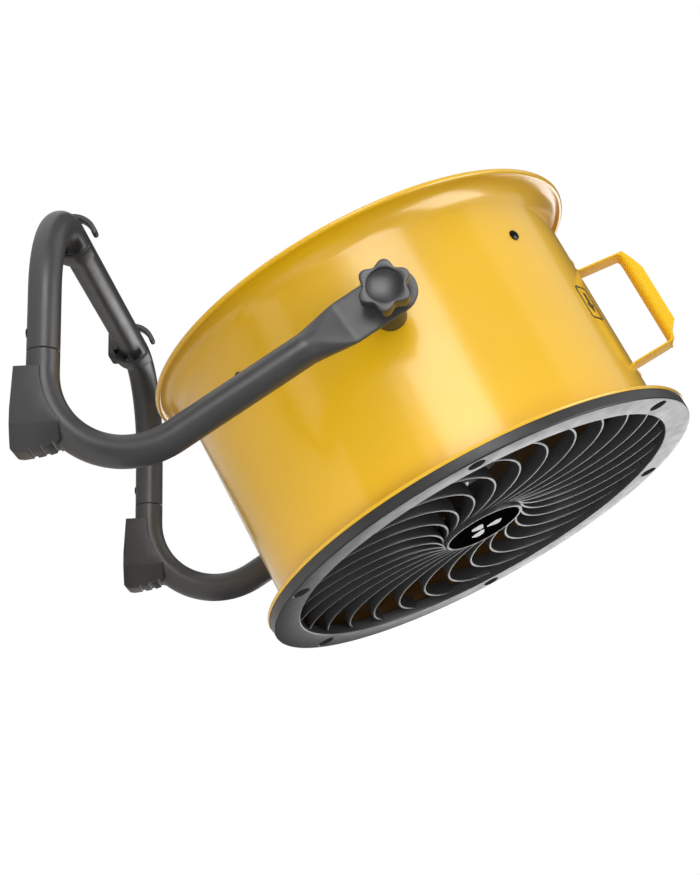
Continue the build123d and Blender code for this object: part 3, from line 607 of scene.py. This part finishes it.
def front_foot(name, x):
    """Boot round the outside of the front bend, drawn forward of the tilt axis and then placed."""
    nose, back, top, half = 139.0, 57.0, 46.5, 20.0
    edge = [(f, BEND_Z - sqrt(FRONT_BEND_R ** 2 - (f - BEND_F) ** 2) + 1) for f in range(59, 111, 3)]
    outline = edge + [(112, top - 1), (nose - 9, top), (nose - 4.5, 34), (nose - 1.5, 20), (nose, 8)]
    outline += [(nose - 1, 2.5), (nose - 3.5, 0), (98, 0), (back, 2.5), (back, RAIL_Z + 1)]
    side_on = Matrix(((0, 0, 1, 0), (1, 0, 0, 0), (0, 1, 0, 0), (0, 0, 0, 1)))
    outline = rounded(outline, [0] * len(edge) + [0, 2, 12, 12, 5, 2, 3, 0, 0, 0], 4)
    body = move(plate("boot", [outline], -half, half, 0.05), side_on)
    plan = [(-half, 50), (half, 50), (half, 113), (half - 3, 125), (half - 8, nose), (8 - half, nose)]
    plan += [(3 - half, 125), (-half, 113)]
    body = boolean(body, plate("plan", [plan], -5, 60, 0.05), "INTERSECT")
    body = bevelled(body, 1.6, 3, 28)
    grooves = []
    for z, deep in ((19.5, 3.5), (30.5, 5.5), (41, 9.0)):
        mouth, bottom = nose + 6, nose - deep
        groove = [(mouth, z - 3.2), (bottom, z - 1.9), (bottom, z + 1.9), (mouth, z + 3.2)]
        groove = rounded(groove, [0, 1.7, 1.7, 0])
        grooves.append(move(plate("groove", [groove], -25, 25, 0.05), side_on))
    body = boolean(body, joined("grooves", grooves))
    path = arm_centre_line(0, PIVOT_Y - 40, EYE_ROUND)[0]
    bore = sweep("bore", path, (1, 0, 0), circle(TUBE_R + 0.05))
    forward = Matrix(((1, 0, 0, 0), (0, -1, 0, PIVOT_Y), (0, 0, 1, 0), (0, 0, 0, 1)))
    bore.data.transform(forward.inverted())
    bore.data.flip_normals()
    body = boolean(body, bore)
    body.name = name + "_foot_skin"
    body.data.transform(shift(x) @ forward)
    body.data.flip_normals()
    return body


def cord_clip(name, x):
    """Rear foot: a cup in front of the bar, a narrow tongue behind it, and a pad on the floor."""
    def band(start, end, outer):
        middle = (CLIP_R_IN + outer) / 2
        half = (outer - CLIP_R_IN) / 2
        tip = arc(polar(middle, end), half, end, end + 180, 8)
        heel = arc(polar(middle, start), half, start + 180, start + 360, 8)
        return (arc((0, 0), outer, start, end, 48) + tip[1:]
                + arc((0, 0), CLIP_R_IN, end, start, 48) + heel[1:-1])

    side_on = Matrix(((0, 0, 1, x), (1, 0, 0, REAR_BAR_Y), (0, 1, 0, RAIL_Z), (0, 0, 0, 1)))
    middle = CLIP_R_IN + 1.7
    pad = arc((-12.5, -22.5), 3.5, 180, 270, 5) + arc((12.5, -22.5), 3.5, 270, 360, 5)
    pad += arc((0, 0), middle, -45, -135, 20)
    saddle = [(-6.5, -22.5), (6.5, -22.5), (6.5, -14.6)]
    saddle += arc((0, 0), TUBE_R, -66, -114, 6) + [(-6.5, -14.6)]
    half = CLIP_W / 2
    web = arc((0, 0), CLIP_R_IN + 1, 200, 338, 24) + arc((0, 0), TUBE_R, 338, 200, 24)
    parts = [
        plate("cup", [band(123, 347, CLIP_R_OUT)], -half, half, 0.9),
        plate("tongue", [band(-12, 76, CLIP_R_IN + 5.5)], -6, 6, 1.2),
        plate("web", [web], -3, 3, 0.1),
        plate("pad", [pad], -half, half, 0.9),
        plate("saddle", [saddle], -half + 0.5, half - 0.5, 0.1),
    ]
    return move(joined(name + "_cord_clip_skin", parts), side_on)


piece(base_tube(), WORLD, "stand", STAND, ["base_tube"], 40)
for side, s in SIDES:
    piece(arm_tube(side, s * RAIL_X), WORLD, "stand", STAND, [side + "_arm_tube"], 40)
    piece(front_foot(side, s * RAIL_X), WORLD, "stand", FOOT, [side + "_front_foot"], 30)
    piece(cord_clip(side, s * CLIP_X), WORLD, "stand", FOOT, [side + "_cord_clip"], 30)


# ---------------------------------------------------------------- drum housing
def drum_housing():
    """Drum wall with a flared, beaded inlet and an outlet flange that carries the grille."""
    back = GRILLE_BACK - 2
    # the wall's two faces end where they meet the bead
    profile = [(INNER_R, GRILLE_BACK), (INNER_R, 60), (INNER_R, 0)]
    profile += arc(FLARE_CENTRE, FLARE_R + DRUM_WALL, 180, 260.9, 28)
    profile += arc(BEAD_AT, BEAD_R, -143.5, 183, 30)
    profile += arc(FLARE_CENTRE, FLARE_R, 258.9, 180, 28)
    profile += [(DRUM_R, 0), (DRUM_R, 60), (DRUM_R, back - 3.2)]
    profile += arc((DRUM_R + 3, back - 3), 3, 180, 90, 6)
    profile += arc((FLANGE_R - 1.2, back - 0.2), 1.6, 172, 401, 20)
    profile += [(FLANGE_R, GRILLE_BACK)]
    return lathe("drum_skin", profile, 256)


drum = piece(drum_housing(), DRUM, "drum", YELLOW, ["drum_housing"], 40)
# painted shade: the wall's inner face, downstream of the flare, gets a much darker yellow that stands in for the
# shade inside the drum
drum.data.materials.append(PAINTED_SHADE_INSIDE)
to_drum = DRUM.inverted()
for face in drum.data.polygons:
    at = to_drum @ face.center
    if hypot(at.x, at.y) < DRUM_R - DRUM_WALL / 2 and at.z > FLARE_START:
        face.material_index = 1


# ---------------------------------------------------------------- front grille and badge
def front_grille():
    """Ring with screw pockets, curved ribs that start at the hub, and the hub itself."""
    face, back, edge = GRILLE_FACE, GRILLE_BACK, 1.6
    profile = [(RING_OPEN_R, back), (RING_R, back)]
    profile += arc((RING_R - edge, face - edge), edge, 0, 90, 6)
    profile += arc((RING_OPEN_R + edge, face - edge), edge, 90, 180, 6)
    ring = lathe("ring", profile, 256)
    bottom, rim = face - POCKET_DEEP, POCKET_R + 0.7
    pocket = [(0, bottom), (POCKET_R, bottom), (POCKET_R, face - 0.7), (rim, face + 0.01)]
    pocket += [(rim, face + 2), (0, face + 2)]
    pockets = [move(lathe("pocket", pocket, 48), turn(60 * i) @ shift(SCREW_CIRCLE_R)) for i in range(6)]
    ring = boolean(ring, joined("pockets", pockets))
    rib_back = RIB_FRONT - RIB_DEEP
    half = RIB_W / 2
    section = [(-half + 0.3, 0), (half - 0.3, 0), (half, RIB_DEEP), (-half, RIB_DEEP)]
    section = rounded(section, [0.2, 0.2, 1.1, 1.1])
    rib_arc = arc((0, 0), RIB_ARC_R, RIB_FROM, RIB_TO, 44)
    path = [(RIB_ARC_OFFSET + x, y, rib_back) for x, y in rib_arc]
    rib = sweep("rib", path, (0, 0, 1), [(v, u) for u, v in section])
    rib = copies(rib, [turn(RIB_PHASE + 360 / RIBS * i) for i in range(RIBS)])
    hub_top = face - 1
    hub = [(0, rib_back + 8), (HUB_R - 3, rib_back + 8), (HUB_R - 3, rib_back), (HUB_R, rib_back)]
    hub += arc((HUB_R - 1.5, hub_top - 1.5), 1.5, 0, 90, 6) + [(BADGE_R + 0.7, hub_top)]
    hub += [(BADGE_R + 0.2, hub_top - 0.5), (BADGE_R + 0.2, face - 2.4), (0, face - 2.4)]
    return joined("front_grille_skin", [ring, rib, lathe("hub", hub, 128)])


def hub_badge():
    top = GRILLE_FACE - 1.2
    profile = [(0, top - 1.2), (BADGE_R, top - 1.2)]
    profile += arc((BADGE_R - 0.5, top - 0.5), 0.5, 0, 90, 4) + [(0, top)]
    return lathe("hub_badge_skin", profile, 96)


def badge_mark():
    """Generic three-blade fan sign, printed on the badge."""
    low, high = GRILLE_FACE - 1.25, GRILLE_FACE - 1.12
    corners = [(3.6, -1.6), (17.5, -9.5), (21.5, 4.0), (14.0, 7.5), (3.6, 2.4)]
    outline = rounded(corners, [0.8, 4, 4, 4, 0.8])
    marks = [move(plate("blade", [outline], low, high, 0.02), turn(120 * i + 90)) for i in range(3)]
    return joined("badge_mark", marks)


def drum_label():
    """Generic airflow sign printed on the drum: a frame with an arrow that points to the outlet."""
    half_l, half_w, line = 20.0, 15.0, 2.2

    def box(inset):
        return rounded(oblong(half_l - inset, half_w - inset), 5 - inset, 5)

    arrow = [(-12, -3.2), (1, -3.2), (1, -8.5), (12.5, 0), (1, 8.5), (1, 3.2), (-12, 3.2)]
    arrow = rounded(arrow, 0.8, 3)
    sign = joined("drum_label_skin", [plate("frame", [box(0.0), box(line)], 0.02, 0.3, 0.02),
                                      plate("arrow", [arrow], 0.02, 0.3, 0.02)])
    # cut into narrow strips, so that the sign can follow the drum's wall
    work = bmesh.new()
    work.from_mesh(sign.data)
    for i in range(-14, 15):
        whole = work.verts[:] + work.edges[:] + work.faces[:]
        bmesh.ops.bisect_plane(work, geom=whole, plane_co=(0, i, 0), plane_no=(0, 1, 0))
    for vertex in work.verts:
        along, across, out = vertex.co
        a = radians(LABEL_AT) + across / DRUM_R
        vertex.co = ((DRUM_R + out) * cos(a), (DRUM_R + out) * sin(a), LABEL_S + along)
    work.to_mesh(sign.data)
    work.free()
    return sign


piece(drum_label(), DRUM, "drum", LABEL, ["drum_label"], 35)
piece(front_grille(), DRUM, "drum", GRILLE, ["front_grille"], 35)
piece(hub_badge(), DRUM, "drum", BADGE, ["hub_badge"], 35)
piece(badge_mark(), DRUM, "drum", MARK)


# ---------------------------------------------------------------- handle
def channel_section(flange):
    """The grip's section: a channel of sheet with round corners and rounded lips."""
    half, t, lip = STRAP_W / 2, STRAP_T, flange - 1
    bend = min(GRIP_BEND, lip)
    left, right = (bend - half, bend), (half - bend, bend)
    outer = [(-half, lip)] + arc(left, bend, 180, 270, 8) + arc(right, bend, 270, 360, 8)
    inner = arc(right, bend - t, 360, 270, 8) + arc(left, bend - t, 270, 180, 8)
    right_lip = arc((half - t / 2, lip), t / 2, 0, 180, 6)
    left_lip = arc((t / 2 - half, lip), t / 2, 0, 180, 6)
    return outer + right_lip + inner + left_lip[:-1]


def handle():
    """Channel grip with one bent strap at each end."""
    seat = DRUM_R + 1.1
    middle = GRIP_UNDER + 1
    parts = []
    for end, way in ((GRIP_BACK, -1), (GRIP_FRONT, 1)):
        corners = [(end + STRAP_FOOT * way, seat), (end + 2.5 * way, seat)]
        corners += [(end - way, middle), (end - 7 * way, middle)]
        line = rounded(corners, [0, STRAP_BEND_R, STRAP_BEND_R, 0], 8)
        outlines = [rounded(oblong(STRAP_W / 2, STRAP_T / 2), 0.5, 3)] * (len(line) - 1)
        outlines.append(rounded(oblong(STRAP_W / 2 * 0.55, STRAP_T / 2 - 0.15), 0.5, 3))
        parts.append(sweep("strap", [(0, h, a) for a, h in line], (1, 0, 0), outlines))
    stations = [(GRIP_BACK, 4), (-10, 9.5), (-2, 12.3)]
    stations += [(a, GRIP_DEEP) for a in (5, 20, 35, 50, 64, 71.5)]
    stations += [(77, 9.8), (82.5, 6), (GRIP_FRONT, 3.2)]
    rings = []
    for a, flange in stations:
        rings.append([Vector((u, GRIP_UNDER + v, a)) for u, v in channel_section(flange)])
    parts.append(skin("channel", rings))
    return joined("handle_skin", parts)


piece(handle(), DRUM, "drum", HANDLE, ["handle"], 32)


# ---------------------------------------------------------------- screws you can see
side_spots = []
for i in range(4):
    side_spots.append(turn(45 + 90 * i) @ shift(DRUM_R + 0.05, 0, SIDE_SCREW_S) @ turn(90, "Y"))
grille_spots = [turn(60 * i) @ shift(SCREW_CIRCLE_R, 0, GRILLE_FACE - POCKET_DEEP) for i in range(6)]
handle_spots = []
for along in (GRIP_BACK - 14.5, GRIP_FRONT + 14.5):
    for x in (-HANDLE_SCREW_X, HANDLE_SCREW_X):
        handle_spots.append(shift(x, DRUM_R + 2.1, along) @ turn(-90, "X"))
# CAD node, places, material, then the head's radius and height and the shank's radius and length
screw_sets = (
    ("side_screws", side_spots, SCREW, (5.6, 3.2, 3.0, 11)),
    ("grille_screws", grille_spots, SCREW, (4.6, 3.0, 2.5, 6.5)),
    ("handle_screws", handle_spots, YELLOW, (4.4, 2.2, 2.5, 7)),
)
for node, spots, material, size in screw_sets:
    screws = copies(cross_screw(node + "_skin", *size), spots)
    piece(screws, DRUM, "drum", material, [node], 35)


# ---------------------------------------------------------------- tilt clamps
def star_knob(name):
    """Six-lobed knob on Z: a round neck with its seat at zero, lobes, a flat rim and a dished face."""
    neck = [(6.0, 0.0), (15.0, 0.0), (15.4, 0.4), (17.6, 8.0)]
    insets = [(3.0, 8.0), (1.4, 8.15), (0.5, 8.6), (0.1, 9.6), (0.0, 12.0)]
    insets += [(0.0, 23.2), (0.12, 23.65), (0.35, 23.9), (0.7, 24.0)]
    dish = [(17.5, 24.0), (17.3, 23.9), (17.2, 23.0), (16.9, 22.6), (16.5, 22.7), (14.0, 21.9)]
    dish += [(11.0, 21.2), (8.0, 20.7), (5.0, 20.4), (2.5, 20.25), (0.4, 20.2)]
    steps = 180
    angles = [2 * pi * i / steps for i in range(steps)]
    lobes = [LOBE_R + LOBE_SWING * cos(6 * a) - 0.15 * cos(12 * a) for a in angles]

    def ring(radii, z):
        return [Vector((r * cos(a), r * sin(a), z)) for r, a in zip(radii, angles)]

    loops = [ring([radius] * steps, z) for radius, z in neck]
    loops += [ring([lobe - inset for lobe in lobes], z) for inset, z in insets]
    loops += [ring([radius] * steps, z) for radius, z in dish]
    return skin(name, loops)


for side, s in SIDES:
    outward = turn(90 * s, "Y")
    aim = turn(s * TILT)
    piece(move(star_knob(side + "_knob_skin"), outward @ shift(0, 0, KNOB_IN) @ aim), DRUM,
          side + "_clamp_knob", KNOB, [side + "_knob"], 28)
    spacer = rod(side + "_spacer_skin", SPACER_R, DRUM_R - 1, RAIL_X - EYE_T / 2 - 0.05, 64, 0.8)
    piece(move(spacer, outward), DRUM, "drum", SPACER, [side + "_spacer"], 35)


# ---------------------------------------------------------------- rear guard
def rear_guard():
    """Wire rings on eight spokes, held by four straps inside the drum."""
    wire = 1.3
    gap = (GUARD_OUT_R - GUARD_IN_R) / (GUARD_RINGS - 1)
    parts = []
    for i in range(GUARD_RINGS):
        parts.append(lathe("ring", arc((GUARD_IN_R + gap * i, GUARD_S - 1.9), wire, 0, 315, 7)))
    spoke = rod("spoke", 1.8, GUARD_IN_R, GUARD_OUT_R + wire, 12, 0.6)
    spoke = move(spoke, shift(0, 0, GUARD_S) @ turn(90, "Y"))
    parts.append(copies(spoke, [turn(45 * i) for i in range(8)]))
    line = [(INNER_R - 1.1, SIDE_SCREW_S + 9), (INNER_R - 1.1, SIDE_SCREW_S)]
    line += arc(FLARE_CENTRE, FLARE_R + DRUM_WALL + 1.05, 180, 236, 16)
    section = rounded(oblong(8.2, 0.95), 0.5, 3)
    strap = sweep("strap", [(r, 0, a) for r, a in line], (0, 1, 0), section)
    parts.append(copies(strap, [turn(45 + 90 * i) for i in range(4)]))
    return joined("rear_guard_skin", parts)


piece(rear_guard(), DRUM, "drum", WIRE, ["rear_guard"], 40)


# ---------------------------------------------------------------- control box, dial and gland
def control_box():
    front = BRACKET_S - 1.5
    profile = [(0, BOX_BACK + 0.01), (BOX_R, BOX_BACK + 0.01)]
    profile += arc((BOX_R - 3, front - 3), 3, 0, 90, 5) + [(0, front)]
    return lathe("control_box_skin", profile, 128)


def control_cover():
    low = BOX_BACK - 2.5
    profile = [(0, low)] + arc((BOX_R - 1.4, low + 1.4), 1.4, -90, 0, 6)
    profile += [(BOX_R, BOX_BACK), (0, BOX_BACK)]
    return lathe("control_cover_skin", profile, 128)


def dial_print():
    """Off mark and three speed marks round the dial: bars that grow with the speed."""
    marks = []
    for i in range(4):
        length = 2.5 + 1.6 * i
        bar = [(21, -0.7), (21 + length, -0.7), (21 + length, 0.7), (21, 0.7)]
        outlines = [bar] if i else [circle(2.2, 24, (23.2, 0)), circle(1.4, 24, (23.2, 0))]
        mark = plate("bar", outlines, BOX_BACK - 2.58, BOX_BACK - 2.45, 0.02)
        marks.append(move(mark, turn(90 - 90 * i)))
    return joined("dial_print", marks)


def speed_knob():
    """Fluted dial that points away from the air, with a raised pointer."""
    steps = 96
    back = BOX_BACK - 17
    rings = [(0.3, back + 0.6), (13.0, back + 0.4), (13.6, back), (15.2, back)]
    rings += [(16.3, back + 0.7), (16.8, back + 2), (17.0, BOX_BACK - 6), (17.0, BOX_BACK - 3.6)]
    rings += [(16.4, BOX_BACK - 3.0), (4.0, BOX_BACK - 3.0), (4.0, BOX_BACK - 0.2)]
    loops = []
    for radius, z in rings:
        depth = 0.7 if radius > 16 and z < BOX_BACK - 5 else 0.0
        loop = []
        for i in range(steps):
            a = 2 * pi * i / steps
            r = radius - depth * (0.5 + 0.5 * cos(16 * a))
            loop.append(Vector((r * cos(a), r * sin(a), z)))
        loops.append(loop)
    body = skin("body", loops)
    outline = rounded([(-1.2, 4), (1.2, 4), (1.2, 15.8), (-1.2, 15.8)], 1.0)
    pointer = plate("pointer", [outline], back - 1.6, back + 1, 0.3)
    return joined("speed_knob_skin", [body, pointer])


def cable_gland():
    """Cord entry in the cover: a collar, a hexagon and a domed cap round an open bore."""
    at = turn(GLAND_AT) @ shift(GLAND_CIRCLE_R, 0, BOX_BACK - 2.5) @ turn(180, "X")
    bore = circle(GLAND_BORE_R)
    base = plate("base", [circle(8), bore], -2.3, 0.5, 0.1)
    nut = plate("nut", [rounded(circle(11.5, 6), 1.0, 3), bore], 0.05, 6.5, 0.7)
    profile = [(GLAND_BORE_R, 6.5), (10, 6.5), (10, 12), (9.4, 14.6)]
    profile += arc((7.7, 15.2), 2.2, 10, 90, 6) + [(GLAND_BORE_R, 17.5)]
    return move(joined("cable_gland_skin", [base, nut, lathe("dome", profile, 48)]), at)


piece(control_box(), DRUM, "drum", CONTROL, ["control_box"])
piece(control_cover(), DRUM, "drum", CONTROL, ["control_cover"])
piece(dial_print(), DRUM, "drum", MARK)
piece(speed_knob(), DRUM, "speed_knob", KNOB, ["speed_knob"], 28)
piece(cable_gland(), DRUM, "drum", CONTROL, ["cable_gland"])


# ---------------------------------------------------------------- impeller
def blade():
    """Twisted, slightly cambered blade along X, with a rounded nose and a thin tail."""
    # radius, chord and pitch at each station
    stations = [(FAN_HUB_R - 4, 68, 39), (80, 82, 35.2), (105, 95, 31.4), (125, 104, 29)]
    stations += [(150, 110, 26.3), (175, 116, 23.8), (195, 120, 21.9), (BLADE_TIP_R - 0.4, 122, 21)]
    rings = []
    for radius, chord, pitch in stations:
        upper, lower = [], []
        for i in range(17):
            u = (1 - cos(pi * i / 16)) / 2
            bow = 3.2 * (1 - (2 * u - 1) ** 2)
            half = 0.55 + 1.35 * sqrt(max(0, 1 - u)) * min(1, sqrt(u * 12))
            upper.append(((u - 0.5) * chord, bow + half))
            lower.append(((u - 0.5) * chord, bow - half))
        ring = []
        p = radians(pitch)
        for x, y in lower + upper[::-1]:
            across, along = x * cos(p) - y * sin(p), x * sin(p) + y * cos(p)
            span = sqrt(max(1, radius ** 2 - across ** 2)) if radius > FAN_HUB_R else radius
            ring.append(Vector((span, across, BLADE_MID + along)))
        rings.append(ring)
    return skin("blade", rings)


def impeller():
    wall = FAN_HUB_R - 5
    hub = [(HUB_BORE_R, HUB_BACK + 2), (wall, HUB_BACK + 2), (wall, HUB_BACK), (FAN_HUB_R, HUB_BACK)]
    hub += arc((FAN_HUB_R - 10, HUB_FRONT - 10), 10, 0, 90, 10)
    hub += [(20, HUB_FRONT), (HUB_BORE_R, HUB_FRONT)]
    blades = copies(blade(), [turn(360 / BLADES * i) for i in range(BLADES)])
    return joined("impeller_skin", [blades, lathe("hub", hub, 96)])


piece(impeller(), DRUM, "rotor", FAN, ["impeller"], 40)


# ---------------------------------------------------------------- the other CAD nodes get their finish
for name, obj in nodes.items():
    if obj.hide_render:
        continue
    obj.data.materials.clear()
    obj.data.materials.append(SLOT_MATERIALS[NODE_SLOTS[name]])
    soften(obj.data, 30)


# ---------------------------------------------------------------- floor, light and camera
def panel(name, at, aim, size, radiance):
    """Area light of a given radiance, turned towards a point."""
    light = bpy.data.lights.new(name, "AREA")
    light.shape = "RECTANGLE"
    light.size, light.size_y = size
    light.energy = radiance * pi * size[0] * size[1]
    obj = bpy.data.objects.new(name, light)
    bpy.context.scene.collection.objects.link(obj)
    obj.location = at
    obj.rotation_euler = (Vector(aim) - Vector(at)).to_track_quat("-Z", "Y").to_euler()
    obj.visible_camera = False
    return obj


def card(name, corners, level):
    """Flat card on the set, unseen by the camera, with a matt finish of one grey level."""
    mesh = bpy.data.meshes.new(name)
    mesh.from_pydata(corners, [], [(0, 1, 2, 3)])
    obj = new_object(name, mesh)
    obj.data.materials.append(node_material(name, (level, level, level), 1.0, spec=0.0))
    obj.visible_camera = False
    return obj


def rectangle(x0, x1, y0, y1, z):
    return [(x0, y0, z), (x1, y0, z), (x1, y1, z), (x0, y1, z)]


card("floor", rectangle(-1.9, 0.7, -0.55, 6, -0.002), 0.9)
dark = card("dark_card", rectangle(-1.3, -0.42, -0.9, 0.9, 0.002), 0.02)
dark.visible_diffuse = False
dark.visible_shadow = False
# lights: name, place, aim and size in metres, and radiance; the gleams show only in reflections
# and the fills never do
gleams = (
    ("side_softbox", (-2.2, 0.85, 0.55), (0, 0, 0.35), (1.2, 1.15), 3.8),
    ("top_softbox", (0.3, 1.9, 2.4), (0, 0, 0.3), (2.4, 2.4), 0.55),
    ("far_softbox", (2.3, -0.5, 1.45), (0, -0.1, 0.35), (1.5, 1.6), 2.8),
    ("overhead_softbox", (-0.77, 0.0, 2.4), (0, 0, 0.35), (1.6, 1.4), 4.2),
)
fills = (
    ("key", (-1.6, 1.4, 2.4), (0, 0, 0.35), (1.5, 1.5), 1.3),
    ("side_fill", (-2.4, 0.7, -0.1), (0, 0, 0.35), (2.0, 1.6), 0.4),
    ("front_fill", (-1.9, -1.3, -0.1), (0, 0, 0.35), (1.6, 1.6), 3.0),
    ("rear_fill", (-1.0, 2.4, 0.2), (0, 0, 0.35), (2.0, 1.8), 3.0),
)
for light in gleams:
    panel(*light).visible_diffuse = False
for light in fills:
    panel(*light).visible_glossy = False

# the world is white to the camera and dim in reflections; for diffuse light it is even, apart
# from a dark patch straight in front of the outlet
world = bpy.data.worlds.new("studio")
bpy.context.scene.world = world
world.use_nodes = True
tree = world.node_tree
background = tree.nodes["Background"]
rays = tree.nodes.new("ShaderNodeLightPath")
coords = tree.nodes.new("ShaderNodeTexCoord")
facing = tree.nodes.new("ShaderNodeVectorMath")
facing.operation = "DOT_PRODUCT"
facing.inputs[1].default_value = AIR
tree.links.new(coords.outputs["Generated"], facing.inputs[0])
falloff = tree.nodes.new("ShaderNodeMapRange")
patch = {"From Min": 0.5, "From Max": 0.9, "To Min": 1.0, "To Max": 0.1}
for socket, value in patch.items():
    falloff.inputs[socket].default_value = value
tree.links.new(facing.outputs["Value"], falloff.inputs["Value"])
strength = falloff.outputs["Result"]
for output, level in (("Is Glossy Ray", 0.06), ("Is Camera Ray", 1.0)):
    mix = tree.nodes.new("ShaderNodeMapRange")
    mix.inputs["To Max"].default_value = level
    tree.links.new(rays.outputs[output], mix.inputs["Value"])
    tree.links.new(strength, mix.inputs["To Min"])
    strength = mix.outputs["Result"]
background.inputs["Color"].default_value = (1, 1, 1, 1)
tree.links.new(strength, background.inputs["Strength"])

camera = bpy.data.objects.new("camera", bpy.data.cameras.new("camera"))
bpy.context.scene.collection.objects.link(camera)
forward = (LOOK_AT - CAMERA_AT).normalized()
level_right = forward.cross(Vector((0, 0, 1))).normalized()
level_up = level_right.cross(forward)
right = level_right * cos(CAMERA_ROLL) + level_up * sin(CAMERA_ROLL)
up = level_up * cos(CAMERA_ROLL) - level_right * sin(CAMERA_ROLL)
facing_camera = Matrix((right, up, -forward)).transposed().to_4x4()
camera.matrix_world = Matrix.Translation(CAMERA_AT) @ facing_camera
camera.data.sensor_width = 36
camera.data.lens = LENS
camera.data.clip_end = 50
bpy.context.scene.camera = camera
bpy.context.scene.view_settings.view_transform = "Standard"
